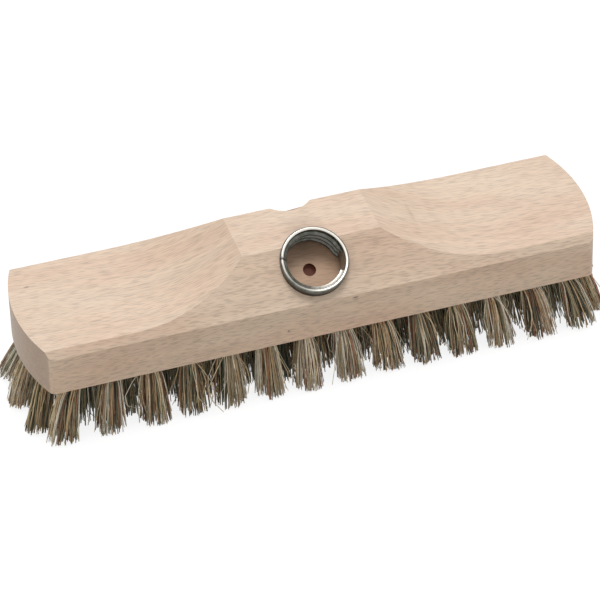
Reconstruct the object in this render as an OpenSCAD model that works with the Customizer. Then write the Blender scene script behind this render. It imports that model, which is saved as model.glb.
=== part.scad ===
// Scrub brush head: a beech block on five rows of drilled-in fibre tufts, with a
// threaded steel ring for a handle in its front slope and a plain handle bore in
// its back slope. The origin is on the floor under the middle of the block, at the
// tips of the fibres. X runs along the block, Y from front to back, Z upwards.

/* [Block] */
// Length of the block's straight front and back edges
edge_length = 224; // [212:1:250]
// Width of the block from front to back
block_width = 60; // [58:1:68]
// How far each rounded end stands out past the straight edges
end_bulge = 6.5; // [4:0.5:10]
// Height of the upright front and back faces
side_height = 16.8; // [16:0.2:18.4]
// Full height of the block at its flat top
block_height = 33.8; // [33:0.2:36]
// Slope of the two slanted faces, in degrees from level
slope_angle = 45; // [43:0.5:48]
// Length of the flat top along the block
top_length = 57; // [48:1:70]

/* [Scoops] */
// Thickness of the level paddle at each end of the block
paddle_thickness = 19.6; // [18.6:0.2:22]
// Radius of the hollow between the flat top and each paddle
scoop_radius = 85; // [60:1:110]

/* [Handle fit] */
// Diameter of the broom handle that the brush takes
handle_diameter = 24; // [22:0.2:25]
// Room left round the handle in the plain bore and round its thread
handle_clearance = 0.2; // [0.1:0.05:0.4]
// Lean of both handle bores, in degrees from upright
handle_lean = 35; // [32:0.5:38]
// How far both handle bores stand from the middle of the block, along it
handle_offset = -0.8; // [-2:0.1:2]

/* [Threaded ring] */
// Distance from the edge of the flat top to the ring's axis, seen from above
ring_setback = 5.4; // [4.8:0.1:6.4]
// Height of the thread's ridge inside the ring
thread_depth = 1.2; // [0.8:0.1:1.6]
// Travel of the thread in one turn
thread_pitch = 3.6; // [3:0.1:4.5]
// Width of the round land on the ridge
thread_land = 2.1; // [1.9:0.1:2.2]
// Slant of the groove's sides, in degrees from square to the axis
thread_flank = 15; // [10:1:20]
// Length of the smooth mouth before the thread
mouth_depth = 1; // [0.6:0.1:1.6]
// Thickness of the ring's wall outside the thread
ring_wall = 1.6; // [1:0.1:2]
// Length of the ring along its axis
ring_length = 12.5; // [10:0.5:13]
// How far the ring stands out of the slope, on its axis
ring_proud = 2.4; // [1.8:0.1:4]
// Depth of the bore past the ring's inner end
floor_gap = 1.2; // [0.6:0.1:1.4]

/* [Plain handle bore] */
// Distance from the edge of the flat top to the bore's axis, seen from above
plain_setback = 6.4; // [5.8:0.1:7.4]
// Depth of the plain bore along its axis
plain_depth = 11; // [9:0.2:11.4]
// Diameter of the centre mark that the cutter leaves in both bore floors
pilot_diameter = 5.3; // [3:0.1:6]
// Depth of the centre mark below the bore floor
pilot_depth = 2.5; // [1:0.1:3]

/* [Tufts] */
// Free length of the fibres, from the floor up to the block
fibre_length = 26; // [20:0.5:34]
// Diameter of each tuft's hole, which its folded root fills
tuft_hole_diameter = 6.6; // [5.4:0.1:7]
// Depth of each tuft's hole
tuft_hole_depth = 10; // [7:0.2:10.6]
// Distance from the front and back faces to the outer rows
row_margin = 6.5; // [5.5:0.1:8]
// Distance from each rounded end to the middle row's last tuft
end_margin = 6.5; // [5.5:0.1:9]
// How much further in the outer rows stop, along the block
corner_setback = 10; // [8:0.5:14]
// Tufts in the front row and in the back row
outer_row_tufts = 14; // [12:1:14]
// Tufts in the second and fourth rows
inner_row_tufts = 15; // [13:1:15]
// Tufts in the middle row
middle_row_tufts = 16; // [14:1:16]

/* [Fibres] */
// Radius of one strand, which stands for a lock of fibres, where it leaves the block
strand_root_radius = 0.8; // [0.6:0.05:0.9]
// Radius of one strand at its tip, where its fibres spread
strand_tip_radius = 1.3; // [0.8:0.05:1.4]
// Strands in the ring round each tuft's middle strand
ring_strands = 5; // [4:1:5]
// Reach of a tuft's tips along the block, from its middle
tip_spread_x = 5.6; // [4.6:0.1:6]
// Reach of a tuft's tips across the block, from its middle
tip_spread_y = 4.8; // [4.4:0.1:5]
// Outward lean of the front and back rows at their tips
side_lean = 4.5; // [3:0.1:6]
// Outward lean of each row's last tuft at its tips
end_lean = 7.5; // [5:0.1:9]

/* [Anchors] */
// Thickness of the flat wire anchor that pins each tuft in its hole
anchor_thickness = 0.5; // [0.3:0.05:0.8]
// Height of the anchor
anchor_height = 2; // [1.5:0.1:2.5]
// How far each end of the anchor bites into the wood
anchor_bite = 0.7; // [0.4:0.1:1]
// Fibre folded over the anchor, from its top to the hole's end
anchor_cover = 1.2; // [0.8:0.1:2]

/* [Hidden] */
$fn = 96;

row_total = 5;
strand_sides = 3;
// The fibres reach this far past the floor and are cut flat at it
trim = 0.5;
// A strand starts this far inside its root
strand_root = 1;
// Cutting tools run this far past the face they open
past = 1;
// Share of the strand's way from root to tip at its middle section, and of its spread
bend_height = 0.5;
bend_share = 0.42;
// The lean grows from the middle of the block outwards with these powers
side_power = 3;
end_power = 6;
// Steps in one turn of the thread, and where its ridge meets the mouth
thread_steps = 24;
thread_start = -25;

top_z = fibre_length + block_height;
half_width = block_width / 2;
half_length = edge_length / 2 + end_bulge;
top_half_width = half_width - (block_height - side_height) / tan(slope_angle);
end_radius = (half_width * half_width + end_bulge * end_bulge) / (2 * end_bulge);
scoop_rise = block_height - paddle_thickness;
scoop_run = sqrt(scoop_radius * scoop_radius - pow(scoop_radius - scoop_rise, 2));
scoop_foot = top_length / 2 + scoop_run;

bore_radius = handle_diameter / 2 + handle_clearance;
crest_radius = bore_radius - thread_depth;
ring_radius = bore_radius + ring_wall;
ring_bottom = ring_proud - ring_length;
ring_floor = ring_bottom - floor_gap;
// The cutter comes from well outside the block
cutter_reach = 2 * ring_radius;

outer_row_y = half_width - row_margin;
row_spacing = 2 * outer_row_y / (row_total - 1);
row_counts = [outer_row_tufts, inner_row_tufts, middle_row_tufts, inner_row_tufts, outer_row_tufts];
root_radius = tuft_hole_diameter / 2;
strand_root_reach = root_radius - strand_root_radius;
anchor_width = tuft_hole_diameter + 2 * anchor_bite;
anchor_top = fibre_length + tuft_hole_depth - anchor_cover;
inner_pairs = ceil(inner_row_tufts / 2);
middle_pairs = ceil(middle_row_tufts / 2);

// Where the tufts stand: row 0 is the front one, and tuft 0 the one furthest left
function row_y(row) = (row - (row_total - 1) / 2) * row_spacing;
function row_reach(row) = half_length - end_margin - corner_setback * pow(row_y(row) / outer_row_y, 2);
function tuft_x(row, i) = row_reach(row) * (2 * i / (row_counts[row] - 1) - 1);

// How far a tuft's tips lean out from under its hole
function lean_x(row, i) =
    end_lean * sign(tuft_x(row, i)) * pow(abs(tuft_x(row, i)) / row_reach(row), end_power);
function lean_y(row) = side_lean * sign(row_y(row)) * pow(abs(row_y(row)) / outer_row_y, side_power);

// Middle of a strand's section: share 0 is at its root and 1 at its tip, and
// reach is 0 for a tuft's middle strand and 1 for those round it
function strand_point(row, i, turn, reach, share) = [
    tuft_x(row, i) + lean_x(row, i) * share
        + reach * cos(turn) * (strand_root_reach + (tip_spread_x - strand_root_reach) * share),
    row_y(row) + lean_y(row) * share
        + reach * sin(turn) * (strand_root_reach + (tip_spread_y - strand_root_reach) * share)
];

// Level section of a strand round a point, wider towards the tip
function strand_section(middle, share, z) =
    let (radius = strand_root_radius + (strand_tip_radius - strand_root_radius) * share)
    [
        for (side = [0:strand_sides - 1])
            [middle.x + radius * cos(360 * side / strand_sides),
             middle.y + radius * sin(360 * side / strand_sides),
             z]
    ];

// A handle bore's place: on the slope, setback from the flat top, leaning outwards
module at_front_bore() {
    translate([handle_offset, -(top_half_width + ring_setback), top_z - ring_setback * tan(slope_angle)])
        rotate([handle_lean, 0, 0])
            children();
}

module at_back_bore() {
    translate([handle_offset, top_half_width + plain_setback, top_z - plain_setback * tan(slope_angle)])
        rotate([-handle_lean, 0, 0])
            children();
}

// Outline of the block seen from above, with its bulging ends
module block_plan() {
    intersection() {
        square([2 * half_length, block_width], center = true);
        union() {
            translate([half_length - end_radius, 0]) circle(r = end_radius);
            translate([end_radius - half_length, 0]) circle(r = end_radius);
        }
    }
}

// Section across the block: upright sides, slopes and the flat top
module block_section() {
    polygon([
        [-half_width, 0],
        [half_width, 0],
        [half_width, side_height],
        [top_half_width, block_height],
        [-top_half_width, block_height],
        [-half_width, side_height]
    ]);
}

// One scoop seen from the front: an arc down from the flat top, then the paddle
module scoop_outline() {
    union() {
        intersection() {
            translate([scoop_foot, paddle_thickness + scoop_radius]) circle(r = scoop_radius);
            translate([top_length / 2, 0]) square([scoop_run, block_height + past]);
        }
        translate([scoop_foot, paddle_thickness]) square([half_length, scoop_rise + past]);
    }
}

// Cutter for a round bore with a flat floor and the cutter's centre mark
module bore_cutter(radius, floor_z) {
    union() {
        translate([0, 0, floor_z]) cylinder(r = radius, h = cutter_reach - floor_z);
        translate([0, 0, floor_z - pilot_depth]) cylinder(d = pilot_diameter, h = pilot_depth + past);
    }
}

// One flat anchor, lying along the block across the fold of its tuft
module anchor(row, i) {
    translate([tuft_x(row, i), row_y(row), anchor_top - anchor_height / 2])
        cube([anchor_width, anchor_thickness, anchor_height], center = true);
}

// One strand as a three-sided prism that bends outwards and ends flat on the floor
module strand(row, i, turn, reach) {
    tip_share = fibre_length / (fibre_length + trim);
    shares = [0, bend_share, tip_share];
    heights = [fibre_length + strand_root, fibre_length * (1 - bend_height), 0];
    last = len(shares) - 1;
    points = [
        for (k = [0:last])
            each strand_section(strand_point(row, i, turn, reach, shares[k]), shares[k], heights[k])
    ];
    sides = [
        for (k = [0:last - 1], s = [0:strand_sides - 1])
            each [
                [k * strand_sides + s,
                 k * strand_sides + (s + 1) % strand_sides,
                 (k + 1) * strand_sides + (s + 1) % strand_sides],
                [k * strand_sides + s,
                 (k + 1) * strand_sides + (s + 1) % strand_sides,
                 (k + 1) * strand_sides + s]
            ]
    ];
    root_cap = [for (s = [strand_sides - 1:-1:0]) s];
    tip_cap = [for (s = [0:strand_sides - 1]) last * strand_sides + s];
    polyhedron(points = points, faces = concat([root_cap], sides, [tip_cap]));
}

// One tuft: the folded root that fills its hole, slotted for the anchor, and its strands
module tuft(row, i) {
    facing = atan2(row_y(row), tuft_x(row, i));
    difference() {
        union() {
            translate([tuft_x(row, i), row_y(row), fibre_length])
                cylinder(r = root_radius, h = tuft_hole_depth);
            strand(row, i, facing, 0);
            for (s = [0:ring_strands - 1])
                strand(row, i, facing + 360 * s / ring_strands, 1);
        }
        anchor(row, i);
    }
}

// Groove of the right-hand thread: a trapezium carried along a helix through the ring
module thread_groove() {
    inner_half = (thread_pitch - thread_land) / 2;
    outer_half = inner_half - thread_depth * tan(thread_flank);
    inner_radius = crest_radius - thread_depth / 2;
    slope_out = inner_half + (inner_half - outer_half) / 2;
    turns = (ring_length + 2 * thread_pitch) / thread_pitch;
    steps = ceil(turns * thread_steps);
    // The land between two turns meets the mouth at the start angle
    first_z = ring_proud - mouth_depth - thread_pitch / 2 - ceil(turns) * thread_pitch
        - thread_pitch * thread_start / 360 + thread_pitch;
    points = [
        for (k = [0:steps])
            let (turn = 360 * k / thread_steps, z = first_z + thread_pitch * k / thread_steps)
                each [
                    [inner_radius * cos(turn), inner_radius * sin(turn), z - slope_out],
                    [inner_radius * cos(turn), inner_radius * sin(turn), z + slope_out],
                    [bore_radius * cos(turn), bore_radius * sin(turn), z + outer_half],
                    [bore_radius * cos(turn), bore_radius * sin(turn), z - outer_half]
                ]
    ];
    sides = [
        for (k = [0:steps - 1], s = [0:3])
            each [
                [4 * k + s, 4 * k + 4 + (s + 1) % 4, 4 * k + (s + 1) % 4],
                [4 * k + s, 4 * k + 4 + s, 4 * k + 4 + (s + 1) % 4]
            ]
    ];
    first_cap = [for (s = [0:3]) s];
    last_cap = [for (s = [3:-1:0]) 4 * steps + s];
    polyhedron(points = points, faces = concat([first_cap], sides, [last_cap]));
}

// The wooden block with its tuft holes, anchor slots and two handle bores
module brush_block() {
    color("burlywood")
        difference() {
            translate([0, 0, fibre_length])
                intersection() {
                    linear_extrude(block_height) block_plan();
                    translate([-half_length, 0, 0])
                        rotate([90, 0, 90])
                            linear_extrude(2 * half_length) block_section();
                    difference() {
                        translate([-half_length, -half_width, 0])
                            cube([2 * half_length, block_width, block_height]);
                        for (side = [0, 1])
                            mirror([side, 0, 0])
                                translate([0, half_width + past, 0])
                                    rotate([90, 0, 0])
                                        linear_extrude(block_width + 2 * past) scoop_outline();
                    }
                }
            at_front_bore() bore_cutter(ring_radius, ring_floor);
            at_back_bore() bore_cutter(bore_radius, -plain_depth);
            for (row = [0:row_total - 1])
                for (i = [0:row_counts[row] - 1]) {
                    translate([tuft_x(row, i), row_y(row), fibre_length - past])
                        cylinder(r = root_radius, h = tuft_hole_depth + past);
                    anchor(row, i);
                }
        }
}

// The pressed-in steel ring with its rolled lip, smooth mouth and inside thread
module threaded_ring() {
    lip_radius = ring_wall / 2;
    thread_top = ring_proud - mouth_depth;
    color("silver")
        at_front_bore()
            difference() {
                rotate_extrude() {
                    translate([bore_radius + lip_radius, ring_proud - lip_radius]) circle(r = lip_radius);
                    translate([bore_radius, ring_bottom]) square([ring_wall, ring_length - lip_radius]);
                    polygon([
                        [crest_radius, ring_bottom],
                        [bore_radius + lip_radius, ring_bottom],
                        [bore_radius + lip_radius, thread_top],
                        [bore_radius, thread_top],
                        [crest_radius, thread_top - thread_depth]
                    ]);
                }
                thread_groove();
            }
}

// The flat wire anchors, one across the fold of each tuft
module tuft_anchors() {
    color("gray")
        for (row = [0:row_total - 1])
            for (i = [0:row_counts[row] - 1])
                anchor(row, i);
}

// One tuft of the front row or the back row, numbered from the left
module outer_tuft(row, number) {
    color("rosybrown") tuft(row, number - 1);
}

// Two neighbouring tufts of an inner row, or the one that is left over
module tuft_pair(row, number) {
    first = 2 * (number - 1);
    last = min(first + 1, row_counts[row] - 1);
    color("tan")
        for (i = [first:last])
            tuft(row, i);
}

brush_block();
threaded_ring();
tuft_anchors();
for (i = [1:outer_row_tufts])
    outer_tuft(0, i);
for (i = [1:inner_pairs])
    tuft_pair(1, i);
for (i = [1:middle_pairs])
    tuft_pair(2, i);
for (i = [1:inner_pairs])
    tuft_pair(3, i);
for (i = [1:outer_row_tufts])
    outer_tuft(4, i);
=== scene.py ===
import logging
import math
from dataclasses import dataclass, field
from enum import Enum

import bmesh
import bpy
import numpy as np
from mathutils import Matrix, Vector

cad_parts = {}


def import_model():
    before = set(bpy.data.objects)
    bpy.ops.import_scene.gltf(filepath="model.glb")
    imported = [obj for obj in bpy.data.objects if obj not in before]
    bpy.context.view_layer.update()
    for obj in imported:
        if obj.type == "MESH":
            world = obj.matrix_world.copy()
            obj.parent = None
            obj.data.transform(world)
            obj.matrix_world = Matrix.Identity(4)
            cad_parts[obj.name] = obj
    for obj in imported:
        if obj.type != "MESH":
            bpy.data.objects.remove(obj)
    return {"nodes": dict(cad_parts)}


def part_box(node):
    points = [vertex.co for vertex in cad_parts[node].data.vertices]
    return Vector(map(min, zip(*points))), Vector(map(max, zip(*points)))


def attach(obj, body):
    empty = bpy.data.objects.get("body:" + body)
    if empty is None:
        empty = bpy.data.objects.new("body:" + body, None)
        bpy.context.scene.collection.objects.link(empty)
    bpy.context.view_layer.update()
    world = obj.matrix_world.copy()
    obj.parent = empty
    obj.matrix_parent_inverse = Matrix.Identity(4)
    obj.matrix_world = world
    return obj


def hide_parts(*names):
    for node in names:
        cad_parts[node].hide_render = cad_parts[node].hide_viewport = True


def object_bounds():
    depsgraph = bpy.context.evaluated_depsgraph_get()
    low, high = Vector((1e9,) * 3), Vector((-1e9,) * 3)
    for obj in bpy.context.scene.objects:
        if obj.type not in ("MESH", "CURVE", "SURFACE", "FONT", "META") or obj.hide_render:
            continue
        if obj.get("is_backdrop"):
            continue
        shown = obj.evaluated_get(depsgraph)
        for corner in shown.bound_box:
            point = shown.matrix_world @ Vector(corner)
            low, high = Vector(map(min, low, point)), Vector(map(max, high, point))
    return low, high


# Scrub brush head: a beech block on five rows of plant fibre tufts, with a threaded
# steel ring for a handle in its front slope and a plain handle bore in its back slope.
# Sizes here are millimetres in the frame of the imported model: X runs along the block,
# Y from front to back, Z upwards, and the floor is at zero. Meshes are made in metres.

MM = 0.001
log = logging.getLogger("scrub_brush")


class Slot(Enum):
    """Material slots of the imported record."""

    BEECH = "beech"
    STEEL = "zinc_plated_steel"
    FIBRE = "plant_fibre"


# Colours and nodes

WHITE = (1.0, 1.0, 1.0, 1.0)

# What a MapRange node does: from low, from high, and the values given there
Levels = tuple[float, float, float, float]


def linear(colour: str) -> tuple[float, float, float, float]:
    """Turns an sRGB hex colour into linear values with an alpha of 1.

    Args:
        colour: six hex digits after a hash sign.

    Returns:
        Red, green, blue and alpha in linear light.
    """
    shares = [int(colour[k:k + 2], 16) / 255 for k in (1, 3, 5)]
    bright = [s / 12.92 if s <= 0.04045 else ((s + 0.055) / 1.055) ** 2.4 for s in shares]
    return (*bright, 1.0)


class Shader:
    """Node tree of a material or a world, with one way of adding a node to it."""

    def __init__(self, owner: bpy.types.ID, output: str = "OutputMaterial") -> None:
        """Empties owner's node tree and gives it its output node."""
        owner.use_nodes = True
        self.owner = owner
        self.tree = owner.node_tree
        self.tree.nodes.clear()
        self.output = self.add(output)

    def add(self, kind: str, links: dict | tuple = (), **settings) -> bpy.types.Node:
        """Adds a node with its settings, socket values and links.

        Args:
            kind: Blender's name of the node type, without ShaderNode.
            links: a value or a (node, output) pair to link, for each socket name or
                number, or in a row for the sockets from the first on.
            settings: properties of the node, such as operation or blend_type.

        Returns:
            The new node.
        """
        node = self.tree.nodes.new(f"ShaderNode{kind}")
        for key, value in settings.items():
            setattr(node, key, value)
        for key, value in links.items() if isinstance(links, dict) else enumerate(links):
            if isinstance(value, tuple) and isinstance(value[0], bpy.types.Node):
                self.tree.links.new(value[0].outputs[value[1]], node.inputs[key])
            else:
                node.inputs[key].default_value = value
        return node

    def finish(self, surface: bpy.types.Node) -> bpy.types.ID:
        """Links surface to the output and returns the material or world."""
        self.tree.links.new(surface.outputs[0], self.output.inputs["Surface"])
        return self.owner


# Meshes

def grid_faces(rows: int, columns: int, closed: bool = False) -> np.ndarray:
    """Faces of a grid of points numbered row by row.

    Args:
        rows: rows of points.
        columns: points in a row.
        closed: whether the last point of each row joins its first.

    Returns:
        One row of four point numbers for each face.
    """
    row = np.arange(rows - 1)[:, None]
    column = np.arange(columns if closed else columns - 1)[None, :]
    following = (column + 1) % columns
    corners = (row * columns + column, row * columns + following,
               (row + 1) * columns + following, (row + 1) * columns + column)
    return np.stack(np.broadcast_arrays(*corners), axis=-1).reshape(-1, 4)


def new_piece(name: str, points: np.ndarray, faces: list[np.ndarray]) -> bpy.types.Object:
    """Makes a smooth mesh object at the origin.

    Args:
        name: name of the piece.
        points: one row of millimetres for each point.
        faces: arrays of point numbers, one array for each number of corners.

    Returns:
        The new object, linked to the scene.
    """
    mesh = bpy.data.meshes.new(name)
    mesh.vertices.add(len(points))
    mesh.vertices.foreach_set("co", (np.asarray(points, float) * MM).ravel())
    corners = np.concatenate([f.ravel() for f in faces]).astype(np.int32)
    sizes = np.concatenate([np.full(len(f), f.shape[1]) for f in faces])
    mesh.loops.add(len(corners))
    mesh.loops.foreach_set("vertex_index", corners)
    mesh.polygons.add(len(sizes))
    mesh.polygons.foreach_set("loop_start", (np.cumsum(sizes) - sizes).astype(np.int32))
    mesh.polygons.foreach_set("use_smooth", np.ones(len(sizes), bool))
    mesh.update(calc_edges=True)
    mesh.validate()
    piece = bpy.data.objects.new(name, mesh)
    bpy.context.scene.collection.objects.link(piece)
    return piece


def closed_and_outward(piece: bpy.types.Object, gap: float = 0.0005) -> None:
    """Merges points closer than gap millimetres and turns all faces outwards."""
    mesh = bmesh.new()
    mesh.from_mesh(piece.data)
    bmesh.ops.remove_doubles(mesh, verts=mesh.verts, dist=gap * MM)
    bmesh.ops.dissolve_degenerate(mesh, edges=mesh.edges, dist=gap * MM)
    bmesh.ops.recalc_face_normals(mesh, faces=mesh.faces)
    mesh.to_mesh(piece.data)
    mesh.free()


def placed(points: np.ndarray, matrix: Matrix) -> np.ndarray:
    """Turns and moves points in millimetres by matrix, which is in metres."""
    return points @ np.array(matrix.to_3x3()).T + np.array(matrix.translation) / MM


def apply_modifiers(piece: bpy.types.Object) -> None:
    """Puts the result of a piece's modifiers into its mesh and takes them off."""
    shown = piece.evaluated_get(bpy.context.evaluated_depsgraph_get())
    made = bpy.data.meshes.new_from_object(shown)
    piece.modifiers.clear()
    piece.data = made


def dress(piece: bpy.types.Object, material: bpy.types.Material) -> None:
    """Makes material the only one of a piece."""
    piece.data.materials.clear()
    piece.data.materials.append(material)


# Finishes

@dataclass(frozen=True)
class Mark:
    """A stain on the wood, or painted shade on it: its middle, half its size along each
    axis, and its strength.

    It is even up to its fade, which is a share of its size, and then runs out.
    """

    place: tuple[float, float, float]
    size: tuple[float, float, float]
    strength: float
    fade: float = 0.7
    colour: str = "#5C4331"


@dataclass(frozen=True)
class Beech:
    """Pale steamed beech, planed and left bare.

    It shows fine wavy pores and short dark ray flecks along the block, faint growth
    rings, and a greyer end grain. It has no varnish, so its gloss is weak. Sizes are
    given along the grain and across it, and waves as their wavelength and swing.
    """

    cream: str = "#EDD6BE"
    pink: str = "#E7C8AF"
    fleck: str = "#AC8B6E"
    end_grain: str = "#BFA68F"
    cloud_size: tuple[float, float] = (68.0, 17.0)
    cloud_levels: Levels = (0.32, 0.68, 0.0, 1.0)
    ring_size: tuple[float, float] = (120.0, 3.2)
    ring_roughness: float = 0.55
    ring_levels: Levels = (0.3, 0.7, 0.92, 1.05)
    pore_size: tuple[float, float] = (4.8, 0.42)
    pore_levels: Levels = (0.5, 0.68, 1.03, 0.82)
    fleck_size: tuple[float, float] = (6.5, 0.75)
    fleck_strength: float = 0.24
    fleck_levels: Levels = (0.45, 1.0, 1.0, 0.0)
    density_size: tuple[float, float] = (14.0, 4.0)
    density_levels: Levels = (0.35, 0.7, 0.22, 0.4)
    end_levels: Levels = (0.75, 0.95, 0.0, 1.0)
    upward_levels: Levels = (0.74, 0.8, 1.0, 0.0)
    grain_turn: float = 4.8
    slow_wave: tuple[float, float] = (55.0, 0.9)
    quick_wave: tuple[float, float] = (9.0, 0.3)
    wave_squeeze: float = 1.8
    relief_depth: float = 0.03
    roughness: float = 0.44
    # Stains on the wood, and painted shade in the threaded bore
    marks: tuple[Mark, ...] = ()

    def grain(self, shader: Shader, millimetres: bpy.types.Node,
              normal: bpy.types.Node) -> bpy.types.Node:
        """Works out the place that the wood's patterns read.

        It is turned a little off the block's length, by grain_turn degrees, and swung
        sideways by a slow noise and a quick one, so that the grain runs in waves. Faces
        that look up take the pattern of one level, so that it follows the scoops.

        Args:
            shader: the material's nodes.
            millimetres: the place on the block.
            normal: the parts of the way each face looks.

        Returns:
            The node whose first output is the grain's place.
        """
        add = shader.add
        kept = add("MapRange", ((normal, "Z"), *self.upward_levels))
        depth = add("CombineXYZ", (1.0, 1.0, (kept, 0)))
        laid = add("VectorMath", ((millimetres, 0), (depth, 0)), operation="MULTIPLY")
        place = add("Mapping", {"Vector": (laid, 0),
                                "Rotation": (0.0, 0.0, math.radians(self.grain_turn))})
        for length, swing in (self.slow_wave, self.quick_wave):
            across = self.wave_squeeze / length
            scaled = add("Mapping", {"Vector": (millimetres, 0),
                                     "Scale": (1 / length, across, across)})
            bend = add("TexNoise", {"Vector": (scaled, 0), "Scale": 1.0, "Detail": 1.0})
            centred = add("VectorMath", ((bend, "Color"), (0.5, 0.5, 0.5)), operation="SUBTRACT")
            sideways = add("VectorMath", ((centred, 0), (0.0, swing, swing)), operation="MULTIPLY")
            place = add("VectorMath", ((place, 0), (sideways, 0)), operation="ADD")
        return place

    def material(self) -> bpy.types.Material:
        """Builds the wood from noise in the block's own millimetres.

        Pores and rings are noises drawn out along the grain, and flecks are the middles
        of drawn-out cells, wider where a slower noise, their density, is high.

        Returns:
            The material.
        """
        shader = Shader(bpy.data.materials.new("beech_planed"))
        add = shader.add
        block = add("TexCoord")
        normal = add("SeparateXYZ", ((block, "Normal"),))
        millimetres = add("VectorMath", ((block, "Object"), (1 / MM,) * 3), operation="MULTIPLY")
        grain = self.grain(shader, millimetres, normal)

        def drawn_out(size: tuple[float, float]) -> tuple[bpy.types.Node, int]:
            """Scales the grain's place so that one unit is size along the grain and across it."""
            scale = (1 / size[0], 1 / size[1], 1 / size[1])
            return add("Mapping", {"Vector": (grain, 0), "Scale": scale}), 0

        rings, pores, density, cloud = (
            add("TexNoise", {"Vector": drawn_out(size), "Scale": 1.0, "Detail": detail})
            for size, detail in ((self.ring_size, 3.0), (self.pore_size, 0.0),
                                 (self.density_size, 1.0), (self.cloud_size, 2.0)))
        rings.inputs["Roughness"].default_value = self.ring_roughness
        cells = add("TexVoronoi", {"Vector": drawn_out(self.fleck_size), "Scale": 1.0})
        reach = add("MapRange", ((density, "Fac"), *self.density_levels))
        near = add("Math", ((cells, "Distance"), (reach, 0)), operation="DIVIDE")
        flecks = add("MapRange", ((near, 0), *self.fleck_levels))

        clouds = add("MapRange", ((cloud, "Fac"), *self.cloud_levels))
        body = add("Mix", {"Factor": (clouds, 0), 6: linear(self.cream), 7: linear(self.pink)},
                   data_type="RGBA")
        facing = add("Math", ((normal, "X"),), operation="ABSOLUTE")
        end = add("MapRange", ((facing, 0), *self.end_levels))
        ended = add("Mix", {"Factor": (end, 0), 6: (body, 2), 7: linear(self.end_grain)},
                    data_type="RGBA")
        ring_tone = add("MapRange", ((rings, "Fac"), *self.ring_levels))
        pore_tone = add("MapRange", ((pores, "Fac"), *self.pore_levels))
        tone = add("Math", ((ring_tone, 0), (pore_tone, 0)), operation="MULTIPLY")
        toned = add("VectorMath", {0: (ended, 2), "Scale": (tone, 0)}, operation="SCALE")
        fleck_share = add("Math", ((flecks, 0), self.fleck_strength), operation="MULTIPLY")
        colour = add("Mix", {"Factor": (fleck_share, 0), 6: (toned, 0), 7: linear(self.fleck)},
                     data_type="RGBA")
        # Each mark mixes in its colour: stains, and painted shade in the bore
        for mark in self.marks:
            apart = add("VectorMath", ((millimetres, 0), mark.place), operation="SUBTRACT")
            shaped = add("VectorMath", ((apart, 0), tuple(1 / side for side in mark.size)),
                         operation="MULTIPLY")
            length = add("VectorMath", ((shaped, 0),), operation="LENGTH")
            share = add("MapRange", ((length, "Value"), 1 - mark.fade, 1.0, mark.strength, 0.0))
            colour = add("Mix", {"Factor": (share, 0), 6: (colour, 2), 7: linear(mark.colour)},
                         data_type="RGBA")

        relief = add("Math", ((pore_tone, 0), (flecks, 0)), operation="SUBTRACT")
        bump = add("Bump", {"Height": (relief, 0), "Strength": 0.2,
                            "Distance": self.relief_depth * MM})
        surface = add("BsdfPrincipled", {"Base Color": (colour, 2), "Roughness": self.roughness,
                                         "IOR": 1.45, "Normal": (bump, 0)})
        return shader.finish(surface)


@dataclass(frozen=True)
class ZincPlate:
    """Zinc plating on rolled sheet steel.

    Handles have rubbed the lip bright, and the thread's first ridge and the smooth patch
    by the lap carry a painted highlight. The rest is dull and cloudy, greener in patches,
    and grimy along the seam, with painted shade along the foot of the outer wall where
    the ring meets the wood.
    """

    rubbed_and_highlit: str = "#F4EEE4"
    dull: str = "#74726D"
    green: str = "#565A50"
    grime: str = "#2A2724"
    patch_size: float = 2.2
    patch_levels: Levels = (0.4, 0.62, 0.0, 1.0)
    grain_size: float = 0.15
    grain_depth: float = 0.02
    rubbed_roughness: float = 0.27
    dull_roughness: float = 0.46

    def material(self) -> bpy.types.Material:
        """Builds the plating: patches from a noise, and from attributes the rubbed lip with the
        painted highlights, and the grimy seam with the painted shade at the wall's foot.

        Returns:
            The material.
        """
        shader = Shader(bpy.data.materials.new("steel_zinc_plated"))
        add = shader.add
        place = add("TexCoord")
        patches, fine = (add("TexNoise", {"Vector": (place, "Object"), "Scale": 1 / (size * MM),
                                          "Detail": detail})
                         for size, detail in ((self.patch_size, 2.0), (self.grain_size, 1.0)))
        # Rubbed wear on the lip with painted highlights on the thread; grime on the seam with
        # painted shade where the ring meets the wood
        rub = add("Attribute", attribute_name="rub")
        grime_and_shade_share = add("Attribute", attribute_name="grime")
        share = add("MapRange", ((patches, "Fac"), *self.patch_levels))
        worn = add("Mix", {"Factor": (share, 0), 6: linear(self.dull), 7: linear(self.green)},
                   data_type="RGBA")
        clean = add("Mix", {"Factor": (rub, "Fac"), 6: (worn, 2), 7: linear(self.rubbed_and_highlit)},
                    data_type="RGBA")
        colour = add("Mix", {"Factor": (grime_and_shade_share, "Fac"), 6: (clean, 2), 7: linear(self.grime)},
                     data_type="RGBA")
        rough = add("MapRange", {"Value": (rub, "Fac"), "To Min": self.dull_roughness,
                                 "To Max": self.rubbed_roughness})
        bump = add("Bump", {"Height": (fine, "Fac"), "Strength": 0.15,
                            "Distance": self.grain_depth * MM})
        surface = add("BsdfPrincipled", {"Base Color": (colour, 2), "Metallic": 1.0,
                                         "Roughness": (rough, 0), "Normal": (bump, 0)})
        return shader.finish(surface)


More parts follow.
